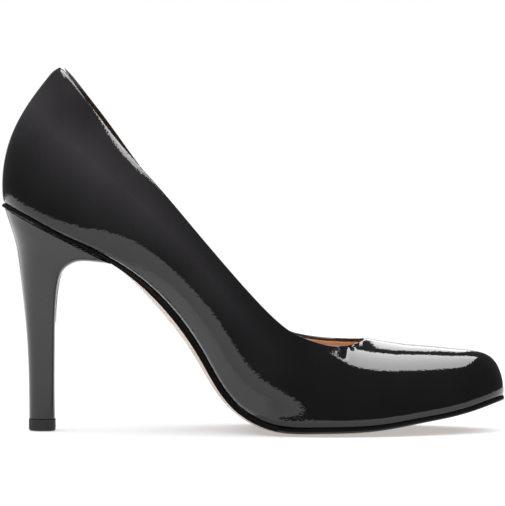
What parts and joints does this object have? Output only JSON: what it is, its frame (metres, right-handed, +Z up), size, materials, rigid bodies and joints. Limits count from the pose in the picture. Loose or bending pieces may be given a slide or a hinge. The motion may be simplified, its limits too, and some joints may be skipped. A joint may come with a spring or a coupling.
{
  "type": "pump shoe",
  "caption": "Low-cut court shoe with a round toe, arched thin sole, slim high heel and rubber heel tip, open at the top for the foot.",
  "frame": {"origin": "on the floor, under the middle of the shoe's box", "axes": "+X from heel to toe, -Y to the medial (arch) side of this left shoe, +Z up"},
  "size_m": [0.2114, 0.0766, 0.154],
  "materials": {
    "upper_patent": "black patent leather, mirror gloss",
    "sole_leather": "smooth tan sole leather with a black painted edge",
    "sock_leather": "soft tan lining leather",
    "heel_patent": "black patent leather stretched over a moulded core",
    "tip_rubber": "matte hard rubber"
  },
  "bodies": {
    "root": {"upper": "upper_patent", "outsole": "sole_leather", "insole": "sock_leather", "heel": "heel_patent", "top_piece": "tip_rubber"}
  },
  "joints": []
}
